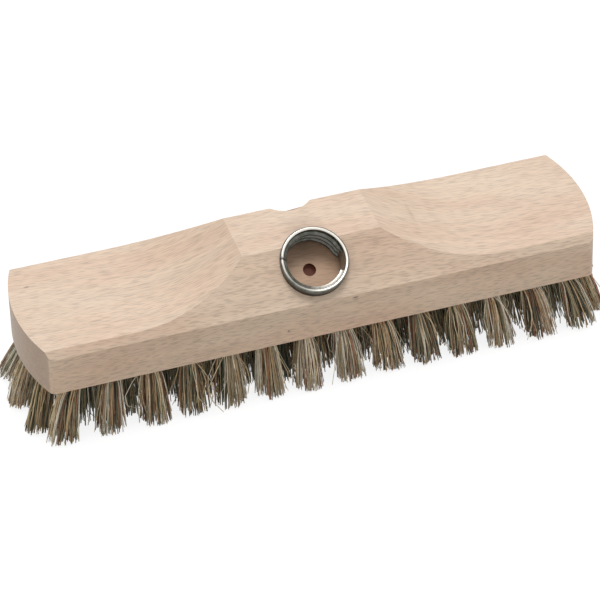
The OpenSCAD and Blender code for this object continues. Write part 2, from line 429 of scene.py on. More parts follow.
@dataclass(frozen=True)
class AnchorWire:
    """Flat drawn steel wire, dull grey with fine lines along it."""

    bright: str = "#A9A9A6"
    dark: str = "#7A7A78"
    line_width: float = 0.2
    line_length: float = 6.0
    roughness: float = 0.42

    def material(self) -> bpy.types.Material:
        """Builds the wire from a noise drawn out along X, as the wire runs."""
        shader = Shader(bpy.data.materials.new("steel_drawn_wire"))
        add = shader.add
        place = add("TexCoord")
        across = 1 / (self.line_width * MM)
        lines = add("Mapping", {"Vector": (place, "Object"),
                                "Scale": (1 / (self.line_length * MM), across, across)})
        noise = add("TexNoise", {"Vector": (lines, 0), "Scale": 1.0, "Detail": 2.0})
        colour = add("Mix", {"Factor": (noise, "Fac"), 6: linear(self.bright),
                             7: linear(self.dark)}, data_type="RGBA")
        surface = add("BsdfPrincipled", {"Base Color": (colour, 2), "Metallic": 1.0,
                                         "Roughness": self.roughness})
        return shader.finish(surface)


@dataclass(frozen=True)
class MixedPlantFibre:
    """A mixture of undyed plant fibres: straw, tan, red-brown, grey-green and near black.

    The fibres are dull and stiff, and each has its own colour along its whole length.
    """

    tones: tuple[tuple[float, str], ...] = (
        (0.00, "#434A3E"), (0.12, "#626955"), (0.24, "#8A6650"), (0.36, "#B98468"),
        (0.46, "#959B82"), (0.57, "#BFAF8C"), (0.68, "#D8B48A"), (0.80, "#EBD3A8"),
        (0.91, "#F8E7C2"), (1.00, "#FFF8E6"),
    )
    mottle_size: float = 1.5
    mottle_levels: Levels = (0.3, 0.7, 0.88, 1.1)
    roughness: float = 0.55

    def material(self) -> bpy.types.Material:
        """Builds the fibres: a ramp over each fibre's own tone, mottled by a noise."""
        shader = Shader(bpy.data.materials.new("plant_fibre_mixed"))
        add = shader.add
        tone = add("Attribute", attribute_name="tone")
        ramp = add("ValToRGB", ((tone, "Fac"),))
        while len(ramp.color_ramp.elements) < len(self.tones):
            ramp.color_ramp.elements.new(0.5)
        for element, (share, colour) in zip(ramp.color_ramp.elements, self.tones):
            element.position = share
            element.color = linear(colour)
        place = add("TexCoord")
        mottle = add("TexNoise", {"Vector": (place, "Object"), "Scale": 1 / (self.mottle_size * MM),
                                  "Detail": 1.0})
        light = add("MapRange", ((mottle, "Fac"), *self.mottle_levels))
        colour = add("VectorMath", {0: (ramp, "Color"), "Scale": (light, 0)}, operation="SCALE")
        surface = add("BsdfPrincipled", {"Base Color": (colour, 0), "Roughness": self.roughness,
                                         "IOR": 1.5, "Specular IOR Level": 0.35})
        return shader.finish(surface)


# Sub-assemblies

@dataclass
class Layout:
    """Sizes that the block, the ring and the tufts share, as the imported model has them."""

    block_low: Vector
    block_high: Vector
    side_height: float = 16.8
    paddle_thickness: float = 19.6
    scoop_radius: float = 85.0
    top_length: float = 57.0
    end_bulge: float = 6.5
    handle_lean: float = 35.0
    handle_offset: float = -0.8
    bore_radius: float = 12.2
    ring_wall: float = 1.6
    ring_setback: float = 5.4
    ring_bottom: float = -10.1
    ring_proud: float = 2.4
    floor_gap: float = 1.2
    plain_setback: float = 6.4
    plain_depth: float = 11.0
    pilot_radius: float = 2.65
    pilot_depth: float = 2.5
    tuft_hole_radius: float = 3.3
    tuft_hole_depth: float = 10.0
    row_margin: float = 6.5
    end_margin: float = 6.5
    corner_setback: float = 10.0
    row_counts: tuple[int, ...] = (14, 15, 16, 15, 14)

    @property
    def half_length(self) -> float:
        """Half the block's length, with its bulging ends."""
        return self.block_high.x / MM

    @property
    def half_width(self) -> float:
        """Half the block's width."""
        return self.block_high.y / MM

    @property
    def base(self) -> float:
        """Height of the block's underside, which is the fibres' free length."""
        return self.block_low.z / MM

    @property
    def block_height(self) -> float:
        """Height of the block at its flat top."""
        return (self.block_high.z - self.block_low.z) / MM

    @property
    def bore_floor(self) -> float:
        """Level of the threaded bore's floor on its axis, under the ring."""
        return self.ring_bottom - self.floor_gap

    @property
    def top_half_width(self) -> float:
        """Half the width of the flat top, between two slopes of 45 degrees."""
        return self.half_width - (self.block_height - self.side_height)

    @property
    def scoop_foot(self) -> float:
        """Distance from the middle to where each scoop meets its paddle level."""
        rise = self.block_height - self.paddle_thickness
        run = math.sqrt(self.scoop_radius ** 2 - (self.scoop_radius - rise) ** 2)
        return self.top_length / 2 + run

    def surface_height(self, x: np.ndarray) -> np.ndarray:
        """Height of the top above the underside at x: flat, then an arc, then the paddle."""
        run = np.clip(self.scoop_foot - np.abs(x), 0.0, self.scoop_foot - self.top_length / 2)
        fall = np.sqrt(self.scoop_radius ** 2 - run ** 2)
        return np.minimum(self.paddle_thickness + self.scoop_radius - fall, self.block_height)

    def bore_matrix(self, front: bool) -> Matrix:
        """Place of a handle bore in metres, with its origin on the slope and its Z leaving it."""
        side = -1.0 if front else 1.0
        setback = self.ring_setback if front else self.plain_setback
        foot = Vector((self.handle_offset, side * (self.top_half_width + setback),
                       self.base + self.block_height - setback)) * MM
        lean = Matrix.Rotation(math.radians(-side * self.handle_lean), 4, "X")
        return Matrix.Translation(foot) @ lean

    def row_y(self, row: int) -> float:
        """Distance of a row of tufts from the middle, towards the back."""
        outer = self.half_width - self.row_margin
        return (row - 2) * outer / 2

    def row_reach(self, row: int) -> float:
        """Distance of a row's last tuft from the middle."""
        share = self.row_y(row) / (self.half_width - self.row_margin)
        return self.half_length - self.end_margin - self.corner_setback * share ** 2

    def tuft_x(self, row: int, number: int) -> float:
        """Place of a tuft along its row, with tuft 0 furthest left."""
        return self.row_reach(row) * (2 * number / (self.row_counts[row] - 1) - 1)


@dataclass
class BrushBlock:
    """The milled beech block with its softly broken edges, bores and tuft holes."""

    layout: Layout
    arris_radius: float = 3.0
    edge_break: float = 0.55
    edge_angle: float = 24.0
    sharp_angle: float = 32.0
    top_columns: int = 24
    slope_columns: int = 5
    wall_rows: int = 5
    flat_stations: int = 7
    scoop_stations: int = 25
    paddle_stations: int = 6
    corner_stations: int = 9
    lens_rows: int = 4
    bore_sides: int = 96
    pilot_sides: int = 32
    tuft_hole_sides: int = 24
    cutter_rise: float = 30.0
    cutter_lap: float = 1.0
    end_radius: float = field(init=False)
    end_centre: float = field(init=False)

    def __post_init__(self) -> None:
        """Works out the end's arc, which bulges by end_bulge over the block's width."""
        size = self.layout
        self.end_radius = (size.half_width ** 2 + size.end_bulge ** 2) / (2 * size.end_bulge)
        self.end_centre = size.half_length - self.end_radius

    def outline(self) -> tuple[np.ndarray, np.ndarray]:
        """Half-widths of the block at stations from its middle to the last full section.

        The side is straight, then turns into the bulging end on an arc of arris_radius.
        The last station is where the slope runs out at the paddle's edge.

        Returns:
            Distances along X and the half-width at each.
        """
        size = self.layout
        corner_y = size.half_width - self.arris_radius
        reach = math.sqrt((self.end_radius - self.arris_radius) ** 2 - corner_y ** 2)
        corner_x = self.end_centre + reach
        last_turn = math.atan2(corner_y, reach)
        last_y = size.half_width - (size.paddle_thickness - size.side_height)
        flat = np.linspace(0.0, size.top_length / 2, self.flat_stations)
        scoop = np.linspace(size.top_length / 2, size.scoop_foot, self.scoop_stations)[1:]
        paddle = np.linspace(size.scoop_foot, corner_x, self.paddle_stations)[1:]
        turn = np.linspace(math.pi / 2, last_turn, self.corner_stations)[1:]
        stations = np.concatenate([flat, scoop, paddle, corner_x + self.arris_radius * np.cos(turn),
                                   [self.end_x(last_y)]])
        straight = len(flat) + len(scoop) + len(paddle)
        widths = np.concatenate([np.full(straight, size.half_width),
                                 corner_y + self.arris_radius * np.sin(turn), [last_y]])
        return stations, widths

    def end_x(self, y: float | np.ndarray) -> float | np.ndarray:
        """Distance along X of the bulging end at a distance y from the middle."""
        return self.end_centre + np.sqrt(self.end_radius ** 2 - np.square(y))

    def section(self, x: np.ndarray, width: np.ndarray) -> tuple[np.ndarray, np.ndarray]:
        """Closed sections across the block, all with the same number of points.

        Each runs over the top, down the back slope and wall, under the block and up the
        front wall and slope. The slope falls 1 mm for each millimetre outwards.

        Args:
            x: station of each section.
            width: half-width of each section.

        Returns:
            Distances along Y and heights over the underside, one row for each section.
        """
        size = self.layout
        top = size.surface_height(x)[:, None]
        wide = width[:, None]
        crease = np.minimum(size.half_width + size.side_height - top, wide)
        across = np.linspace(-1.0, 1.0, self.top_columns + 1)[None, :]
        out = np.linspace(0.0, 1.0, self.slope_columns + 1)[None, 1:]
        down = np.linspace(0.0, 1.0, self.wall_rows + 1)[None, 1:]
        slope_y = crease + (wide - crease) * out
        slope_z = size.side_height + size.half_width - slope_y
        eave = np.minimum(size.side_height + size.half_width - wide, top)
        wall_z = eave * (1 - down)
        wall_y = np.broadcast_to(wide, wall_z.shape)
        y = np.concatenate([crease * across, slope_y, wall_y, -wide * across[:, 1:],
                            -wall_y[:, ::-1][:, 1:], -wide, -slope_y[:, ::-1][:, 1:]], axis=1)
        z = np.concatenate([np.broadcast_to(top, (len(x), across.shape[1])), slope_z, wall_z,
                            np.zeros((len(x), across.shape[1] - 1)), wall_z[:, ::-1][:, 1:], eave,
                            slope_z[:, ::-1][:, 1:]], axis=1)
        return y, z

    def shell(self) -> bpy.types.Object:
        """Lofts the sections along the block and closes both ends.

        The paddle beyond the last section is a lens whose rows blend from the section's
        straight line to the end's arc. The end itself is a grid of upright columns.

        Returns:
            The closed block without its holes.
        """
        half_x, half_w = self.outline()
        x = np.concatenate([-half_x[:0:-1], half_x])
        width = np.concatenate([half_w[:0:-1], half_w])
        y, z = self.section(x, width)
        count = y.shape[1]
        points = [np.stack(np.broadcast_arrays(x[:, None], y, z), axis=-1).reshape(-1, 3)]
        faces = [grid_faces(len(x), count, closed=True)]
        start = len(points[0])
        last_y = half_w[-1]
        across = last_y * np.linspace(-1.0, 1.0, self.top_columns + 1)
        share = np.linspace(0.0, 1.0, self.lens_rows)[:, None]
        lens_x = half_x[-1] + (self.end_x(across)[None, :] - half_x[-1]) * share
        height = np.linspace(0.0, self.layout.paddle_thickness, self.wall_rows + 1)[:, None]
        top = self.layout.paddle_thickness
        for side in (-1.0, 1.0):
            for along, level in ((lens_x, 0.0), (lens_x, top), (lens_x[-1:], height)):
                sheet = np.stack(np.broadcast_arrays(side * along, across[None, :], level), axis=-1)
                points.append(sheet.reshape(-1, 3))
                faces.append(grid_faces(*sheet.shape[:2]) + start)
                start += len(points[-1])
        lifted = np.concatenate(points) + (0.0, 0.0, self.layout.base)
        piece = new_piece("block", lifted, [np.concatenate(faces)])
        closed_and_outward(piece)
        return piece

    def drum(self, matrix: Matrix, radius: float, low: float, high: float,
             sides: int) -> tuple[np.ndarray, np.ndarray]:
        """Points in millimetres and side faces of an open drum on the Z axis of matrix."""
        turn = np.linspace(0.0, 2 * math.pi, sides, endpoint=False)
        rim = np.stack([radius * np.cos(turn), radius * np.sin(turn)], axis=-1)
        local = np.concatenate([np.column_stack([rim, np.full(sides, low)]),
                                np.column_stack([rim, np.full(sides, high)])])
        return placed(local, matrix), grid_faces(2, sides, closed=True)

    def cutter(self) -> bpy.types.Object:
        """One mesh of all the cutters, closed: bores with centre marks, and tuft holes."""
        size = self.layout
        front, back = size.bore_matrix(True), size.bore_matrix(False)
        drums = []
        for matrix, radius, floor in ((front, size.bore_radius + size.ring_wall, size.bore_floor),
                                      (back, size.bore_radius, -size.plain_depth)):
            drums.append(self.drum(matrix, radius, floor, self.cutter_rise, self.bore_sides))
            drums.append(self.drum(matrix, size.pilot_radius, floor - size.pilot_depth,
                                   floor + self.cutter_lap, self.pilot_sides))
        for row, count in enumerate(size.row_counts):
            for number in range(count):
                mouth = Vector((size.tuft_x(row, number), size.row_y(row), size.base)) * MM
                drums.append(self.drum(Matrix.Translation(mouth), size.tuft_hole_radius,
                                       -self.cutter_lap, size.tuft_hole_depth, self.tuft_hole_sides))
        starts = np.cumsum([0] + [len(d[0]) for d in drums])
        points = np.concatenate([d[0] for d in drums])
        faces = [np.concatenate([d[1] + s for d, s in zip(drums, starts)])]
        piece = new_piece("cutters", points, faces)
        mesh = bmesh.new()
        mesh.from_mesh(piece.data)
        bmesh.ops.holes_fill(mesh, edges=mesh.edges, sides=0)
        bmesh.ops.recalc_face_normals(mesh, faces=mesh.faces)
        mesh.to_mesh(piece.data)
        mesh.free()
        return piece

    def build(self) -> bpy.types.Object:
        """Breaks the shell's edges, then cuts the bores and holes into it."""
        piece = self.shell()
        bevel = piece.modifiers.new("edge_break", "BEVEL")
        bevel.width = self.edge_break * MM
        bevel.segments = 3
        bevel.limit_method = "ANGLE"
        bevel.angle_limit = math.radians(self.edge_angle)
        apply_modifiers(piece)
        cutter = self.cutter()
        cut = piece.modifiers.new("holes", "BOOLEAN")
        cut.operation = "DIFFERENCE"
        cut.solver = "EXACT"
        cut.use_self = True
        cut.object = cutter
        apply_modifiers(piece)
        bpy.data.objects.remove(cutter)
        piece.data.set_sharp_from_angle(angle=math.radians(self.sharp_angle))
        weighted = piece.modifiers.new("flat_faces", "WEIGHTED_NORMAL")
        weighted.keep_sharp = True
        return piece


@dataclass
class HandleRing:
    """The threaded steel ring: a rolled lip, a smooth mouth and a pressed inside thread."""

    layout: Layout
    crest_depth: float = 1.2
    pitch: float = 3.6
    crest_width: float = 0.8
    flank_width: float = 0.75
    start_length: float = 0.6
    lip_blend: float = 0.4
    lap_turn: float = -33.0
    shelf_level: float = 1.4
    shelf_turn: float = 90.0
    patch_start: float = 300.0
    patch_end: float = 18.0
    patch_fade: float = 14.0
    # Painted highlight on the smooth patch by the lap
    patch_highlight: float = 0.38
    patch_highlight_start: float = 316.0
    seam_turn: float = 166.0
    seam_width: float = 0.45
    seam_depth: float = 0.5
    seam_reach: float = 0.9
    seam_grime: float = 0.95
    # Painted shade along the foot of the outer wall, where the ring meets the wood
    contact_shade: float = 0.7
    contact_level: float = 0.5
    bright_arc: tuple[float, float] = (0.6, 0.21)
    lip_shine: float = 0.92
    dull_loss: float = 0.74
    dull_turn: float = -140.0
    dull_width: float = 38.0
    # Painted highlight on the thread's first ridge, fading from the lap
    crest_highlight: float = 0.56
    crest_highlight_depth: float = 3.4
    crest_highlight_turn: float = 62.0
    sharp_angle: float = 62.0
    steps: int = 288
    outer_rows: int = 12
    lip_points: int = 13
    inner_rows: int = 110

    def thread_height(self, turn: np.ndarray, depth: np.ndarray) -> np.ndarray:
        """How far the thread stands in from the wall.

        The ridge's middle goes down by one pitch in each turn clockwise. It stands at
        full height within half its crest and falls smoothly over its flanks. It starts
        at the lap, where a shelf joins it to the lip, and the patch beside the lap is
        left smooth.

        Args:
            turn: degrees round the axis, from the X axis.
            depth: millimetres below the lip.

        Returns:
            Height of the ridge in millimetres.
        """
        clockwise = np.mod(self.lap_turn - turn, 360.0)
        along = (depth - self.crest_width) / self.pitch - clockwise / 360.0
        apart = (along - np.round(along)) * self.pitch
        shelf = np.clip(self.shelf_level - clockwise / self.shelf_turn, 0.0, 1.0) * (along < 0)
        flank = self.flank_width + self.pitch * shelf
        rise = np.clip(1 - (np.abs(apart) - self.crest_width / 2) / flank, 0.0, 1.0)
        rise = rise * rise * (3 - 2 * rise)
        begun = np.clip((along + 0.5) * self.pitch / self.start_length, 0.0, 1.0)
        below_lip = np.clip(depth / self.lip_blend - 1, 0.0, 1.0)
        patch = (self.patch_end - np.mod(turn + 180.0, 360.0) + 180.0) / self.patch_fade
        in_patch = np.clip(patch, 0.0, 1.0) * (clockwise > self.patch_start)
        return self.crest_depth * rise * begun * below_lip * (1 - in_patch)

    def rubbed_and_highlit(self, turn: np.ndarray, depth: np.ndarray, bend: np.ndarray,
               ridge: np.ndarray) -> np.ndarray:
        """How bright each point is: a band that handles have rubbed on the lip, and a painted
        highlight on the ridge and on the smooth patch.

        The band and the dull stretch in it fade like a bell curve, the ridge's painted
        highlight fades downwards and clockwise from the lap, and the patch's painted highlight
        is even.

        Args:
            turn: degrees round the axis. The band is weakest at dull_turn.
            depth: millimetres below the lip's crown, one row for each point of the section.
            bend: share of the way over the lip, from 0 outside to 1 inside.
            ridge: height of the thread, one value for each row and step.

        Returns:
            A share from 0 to 1 for each row and step.
        """
        middle, width = self.bright_arc
        from_dull = (np.mod(turn - self.dull_turn + 180.0, 360.0) - 180.0) / self.dull_width
        level = self.lip_shine - self.dull_loss * np.exp(-from_dull ** 2)
        lip = level * np.exp(-((bend - middle) / width) ** 4)
        clockwise = np.mod(self.lap_turn - turn, 360.0)
        ledge = np.maximum(ridge / self.crest_depth, (bend > middle) & (bend < 1.0))
        # Painted highlight on the ridge near the lap
        ridge_highlight = (self.crest_highlight * ledge * np.exp(-(depth / self.crest_highlight_depth) ** 2)
                 * np.exp(-(clockwise / self.crest_highlight_turn) ** 2))
        # Painted highlight on the smooth patch
        in_patch = np.clip((clockwise - self.patch_highlight_start) / self.patch_fade, 0.0, 1.0)
        patch = self.patch_highlight * in_patch * (bend >= 1.0)
        return np.clip(lip + ridge_highlight + patch, 0.0, 1.0)

    def build(self) -> bpy.types.Object:
        """Carries the ring's section round its axis.

        The section goes up the outside, over the rolled lip as a half circle, down the
        inside with the thread's height taken off its radius, and back under the ring.
        The lip dips at the butt seam as a narrow notch.

        Returns:
            The ring.
        """
        size = self.layout
        lip = size.ring_wall / 2
        outer = size.bore_radius + size.ring_wall
        shoulder = size.ring_proud - lip
        arc = np.linspace(0.0, math.pi, self.lip_points)
        outside_z = np.linspace(size.ring_bottom, shoulder, self.outer_rows, endpoint=False)
        inside_z = np.linspace(shoulder, size.ring_bottom, self.inner_rows)[1:]
        radius = np.concatenate([np.full(len(outside_z), outer),
                                 size.bore_radius + lip + lip * np.cos(arc),
                                 np.full(len(inside_z), size.bore_radius)])
        height = np.concatenate([outside_z, shoulder + lip * np.sin(arc), inside_z])
        rows = len(height)
        inside = np.arange(rows) >= len(outside_z) + len(arc) - 1
        turn = np.linspace(-180.0, 180.0, self.steps, endpoint=False)
        ridge = self.thread_height(turn[None, :], size.ring_proud - height[:, None])
        reach = radius[:, None] - ridge * inside[:, None]
        seam = np.exp(-(np.radians(turn - self.seam_turn) * outer / self.seam_width) ** 2)
        on_lip = np.clip((height - shoulder + self.seam_reach) / self.seam_reach, 0.0, 1.0)[:, None]
        level = height[:, None] - self.seam_depth * seam[None, :] * on_lip
        angle = np.radians(turn)[None, :]
        local = np.stack([reach * np.cos(angle), reach * np.sin(angle), level], axis=-1)
        faces = grid_faces(rows, self.steps, closed=True)
        step = np.arange(self.steps)
        following = (step + 1) % self.steps
        low = (rows - 1) * self.steps
        foot = np.stack([low + step, low + following, following, step], axis=-1)
        piece = new_piece("handle_ring", placed(local.reshape(-1, 3), size.bore_matrix(True)),
                          [np.concatenate([faces, foot])])
        bend = np.concatenate([np.zeros(len(outside_z)), arc / math.pi, np.ones(len(inside_z))])
        # The lip's rubbed wear, with the painted highlights of the ridge and the patch
        rubbed_and_highlit = self.rubbed_and_highlit(turn[None, :], size.ring_proud - height[:, None], bend[:, None],
                             ridge * inside[:, None])
        outside = np.arange(rows) < len(outside_z)
        # Painted shade at the foot of the outer wall; the seam's grime is the ring's own
        painted_contact_shade = self.contact_shade * (outside & (height < self.contact_level))[:, None]
        grime = np.maximum(self.seam_grime * seam[None, :] * (height[:, None] > 0.0), painted_contact_shade)
        for name, values in (("rub", rubbed_and_highlit), ("grime", grime)):
            stored = piece.data.attributes.new(name, "FLOAT", "POINT")
            stored.data.foreach_set("value", np.ascontiguousarray(values).ravel())
        closed_and_outward(piece)
        piece.data.set_sharp_from_angle(angle=math.radians(self.sharp_angle))
        return piece


@dataclass
class TuftField:
    """All the fibre tufts, as bundles of single fibres folded over their anchors.

    The three inner rows spread more than the outer two, apart from their last tufts.
    Pairs of lengths are along X and Y, and pairs of shares are a lowest and a highest,
    but for shade_green_tone and tone_shape, which are a mean with its spread and the two
    powers of a beta distribution. The lighter edge tufts and the darker, partly sage-green
    inner tufts are painted light and shade on one fibre.
    """

    layout: Layout
    fibres: int = 156
    inner_fibres: int = 230
    fibre_radius: float = 0.25
    radius_shares: tuple[float, float] = (0.72, 1.28)
    tip_taper: float = 0.18
    locks: int = 8
    lock_place: float = 0.72
    lock_jitter: float = 0.1
    lock_pull: float = 0.26
    lock_loss: float = 1.1
    tip_jitter: float = 0.09
    spread: tuple[float, float] = (6.5, 5.8)
    inner_spread: tuple[float, float] = (10.3, 8.1)
    end_spread: tuple[float, float] = (5.9, 5.1)
    side_lean: float = 4.5
    side_power: float = 0.4
    end_lean: tuple[float, ...] = (6.9, 6.9, 6.9, 9.6, 3.4)
    end_power: int = 6
    end_fan: float = 3.4
    sweep: float = 3.8
    sweep_start: float = 50.0
    sway: tuple[float, float] = (1.2, 0.8)
    sway_loss: float = 0.8
    bend_power: float = 0.66
    inner_bend_power: float = 0.52
    end_bend_power: float = 0.95
    bow: float = 0.45
    wave: float = 0.22
    stray_share: float = 0.07
    stray_bow: float = 6.0
    stray_reach: float = 3.8
    stray_loss: float = 7.0
    stray_radius: float = 0.75
    end_calm: float = 0.3
    reach_limit: tuple[float, float] = (124.6, 33.0)
    limit_power: int = 8
    fold_height: float = 8.6
    fold_rise: float = 0.9
    fold_drop: float = 1.6
    fold_width: float = 0.12
    # Painted light and shade: lit edge tufts a little lighter, shaded inner tufts darker
    lit_edge_tone: float = 0.1
    shaded_inner_tone: float = 0.05
    tuft_tone_spread: float = 0.1
    lock_tone_spread: float = 0.18
    tone_shape: tuple[float, float] = (0.7, 0.65)
    stray_tones: tuple[float, float] = (0.75, 1.0)
    # Painted shade: a sage-green share of the inner tufts' fibres, the greenish shade between rows
    shade_green_share: float = 0.5
    shade_green_tone: tuple[float, float] = (0.46, 0.03)
    seed: int = 7
    spine: tuple[float, ...] = (0.0, 0.22, 0.45, 0.7, 1.0)

    def build(self, name: str, row: int, numbers: list[int]) -> bpy.types.Object:
        """Makes the tufts of one node as one piece, with a tone stored on each point.

        Args:
            name: name of the piece.
            row: number of the row, 0 at the front.
            numbers: numbers of the tufts in the row.

        Returns:
            The piece.
        """
        tufts = [Tuft(self, row, number).mesh() for number in numbers]
        starts = np.cumsum([0] + [len(t[0]) for t in tufts])
        points = np.concatenate([t[0] for t in tufts])
        quads = np.concatenate([t[1] + s for t, s in zip(tufts, starts)])
        caps = np.concatenate([t[2] + s for t, s in zip(tufts, starts)])
        piece = new_piece(name, points, [quads[:, ::-1], caps[:, ::-1]])
        tone = piece.data.attributes.new("tone", "FLOAT", "POINT")
        tone.data.foreach_set("value", np.concatenate([t[3] for t in tufts]))
        return piece

    def node_tufts(self) -> dict[str, tuple[int, list[int]]]:
        """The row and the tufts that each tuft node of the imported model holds."""
        names = ("front_row_tuft_", "second_row_tufts_", "middle_row_tufts_", "fourth_row_tufts_",
                 "back_row_tuft_")
        found = {}
        for row, count in enumerate(self.layout.row_counts):
            held = 1 if row in (0, 4) else 2
            for start in range(0, count, held):
                numbers = list(range(start, min(start + held, count)))
                found[f"{names[row]}{start // held + 1}"] = (row, numbers)
        return found


class Tuft:
    """One tuft, whose roots fill its hole evenly. Its methods draw from draw in turn.

    outer tells whether it is in one of the two outer rows, and last whether it is its
    row's first or last.
    """

    def __init__(self, made: TuftField, row: int, number: int) -> None:
        """Draws the fibres' roots.

        Args:
            made: sizes of all the tufts.
            row: number of the row, 0 at the front.
            number: number of the tuft in its row, from the left.
        """
        size = made.layout
        self.made, self.size, self.row = made, size, row
        self.draw = np.random.default_rng(made.seed + 100 * row + number)
        self.outer, self.last = row in (0, 4), number in (0, size.row_counts[row] - 1)
        self.count = made.fibres if self.outer else made.inner_fibres
        self.centre = np.array([size.tuft_x(row, number), size.row_y(row)])
        turn = self.draw.uniform(0.0, 2 * math.pi, self.count)
        reach = np.sqrt(self.draw.uniform(0.0, 1.0, self.count))
        self.off = np.stack([reach * np.cos(turn), reach * np.sin(turn)], axis=-1)

    def lean(self) -> np.ndarray:
        """How far the tips lean out: almost all of it in the outer rows and last tufts.

        The last tufts of the second and fourth row fan away from the middle by end_fan. Use
        has swept the tufts right of the middle further right, as the photo shows, up to
        sweep at sweep_start and beyond it.
        """
        made, size, x = self.made, self.size, self.centre[0]
        share_x = x / size.row_reach(self.row)
        share_y = self.centre[1] / size.row_y(4)
        at_end = abs(share_x) ** made.end_power
        at_side = abs(share_y) ** made.side_power
        fan = made.end_fan * at_end * math.sin(math.pi * share_y)
        swept = made.sweep * min(max(x / made.sweep_start, 0.0), 1.0) * (1 - at_end)
        return np.array([made.end_lean[self.row] * math.copysign(at_end, share_x) + swept,
                         made.side_lean * math.copysign(at_side, share_y) + fan])

    def tips(self) -> tuple[np.ndarray, np.ndarray]:
        """Works out where the fibres end, and finds each one's lock.

        A tip is off the middle as its root is, times the spread, and drawn a little to
        the middle of its lock. The whole tuft leans and sways, less near the block's
        ends. Each lock ends a little above the floor, and each fibre a little higher.

        Returns:
            Each tip's place off the hole's axis, and its height.
        """
        made, draw, off = self.made, self.draw, self.off
        turn = draw.uniform(0.0, 2 * math.pi)
        turn = turn + np.arange(made.locks) * 2 * math.pi / (made.locks - 1)
        middles = np.stack([np.cos(turn), np.sin(turn)], axis=-1) * made.lock_place
        middles[0] = 0.0
        middles += draw.normal(0.0, made.lock_jitter, middles.shape)
        self.lock = np.argmin(np.linalg.norm(off[:, None] - middles[None], axis=-1), axis=1)
        gathered = (off * (1 - made.lock_pull) + middles[self.lock] * made.lock_pull
                    + draw.normal(0.0, made.tip_jitter, off.shape))
        spread = (made.spread if self.outer else made.end_spread if self.last
                  else made.inner_spread)
        calm = 1.0 - made.sway_loss * abs(self.centre[0]) / self.size.half_length
        sway = draw.normal(0.0, 1.0, 2) * made.sway * calm
        tip = gathered * np.array(spread) + self.lean() + sway
        lock_height = draw.uniform(0.0, made.lock_loss, made.locks)[self.lock]
        return tip, np.abs(draw.normal(0.0, 1.0, self.count)) + lock_height

    def lines(self) -> np.ndarray:
        """Works out the middle lines of the fibres, and picks the strays.

        A fibre comes from the fold over the anchor, leaves the hole, and bends to its
        tip as its share of the way to the power bend_power. A bow and a slight S, as
        one and two half waves of a sine, make each one a little crooked, and a few
        strays bow out much further. Reaches near reach_limit, in X and Y, are eased
        back inside it.

        Returns:
            A line of points in millimetres for each fibre.
        """
        made, size, draw, count = self.made, self.size, self.draw, self.count
        tip, tip_z = self.tips()
        bow = draw.normal(0.0, made.bow, (count, 2))
        wave = draw.normal(0.0, made.wave, (count, 2))
        self.stray = draw.uniform(0.0, 1.0, count) < made.stray_share
        wild = made.end_calm if self.last else 1.0
        bow[self.stray] *= made.stray_bow * wild
        tip[self.stray] += draw.normal(0.0, made.stray_reach * wild, (count, 2))[self.stray]
        tip_z[self.stray] += draw.uniform(0.0, made.stray_loss, count)[self.stray]

        share = np.array(made.spine)
        power = (made.bend_power if self.outer else made.end_bend_power if self.last
                 else made.inner_bend_power)
        bent, bowed, waved = (way[None, :, None] for way in (
            share ** power, np.sin(math.pi * share), np.sin(2 * math.pi * share)))
        root = self.off * (size.tuft_hole_radius - made.fibre_radius)
        side = (root[:, None] + (tip - root)[:, None] * bent
                + bow[:, None] * bowed + wave[:, None] * waved) + self.centre
        away = side - self.centre
        room = np.array(made.reach_limit) - self.centre * np.sign(away)
        eased = away / (1 + (np.abs(away) / room) ** made.limit_power) ** (1 / made.limit_power)
        fold = root * (1.0, made.fold_width)
        flat = np.concatenate([fold[:, None], root[:, None], eased], axis=1) + self.centre

        inside = size.base + made.fold_height + np.array([made.fold_rise, -made.fold_drop])
        height = size.base + (tip_z - size.base)[:, None] * share[None, :]
        height = np.concatenate([np.tile(inside, (count, 1)), height], axis=1)
        return np.concatenate([flat, height[:, :, None]], axis=-1)

    def tones(self) -> np.ndarray:
        """Tones of the fibres, from 0, dark, to 1, pale: their own, the lock's and the tuft's.

        Strays are pale. Outer and last tufts get a higher tuft tone, painted light, and inner
        tufts a lower one, with a share of their fibres sage green: painted shade, the greenish
        grey of the shade between the rows, on the same fibre.
        """
        made, draw, count = self.made, self.draw, self.count
        edge = self.outer or self.last
        # Painted light on the edge tufts, painted shade on the inner ones
        tuft_tone = draw.normal(made.lit_edge_tone if edge else made.shaded_inner_tone, made.tuft_tone_spread)
        lock_tone = draw.normal(0.0, made.lock_tone_spread, made.locks)[self.lock]
        tone = np.clip(draw.beta(*made.tone_shape, count) + tuft_tone + lock_tone, 0.0, 1.0)
        tone[self.stray] = draw.uniform(*made.stray_tones, count)[self.stray]
        # Painted shade: part of an inner tuft's fibres in the shade's sage green
        if not edge:
            green = draw.uniform(0.0, 1.0, count) < made.shade_green_share
            tone[green] = draw.normal(*made.shade_green_tone, count)[green]
        return tone

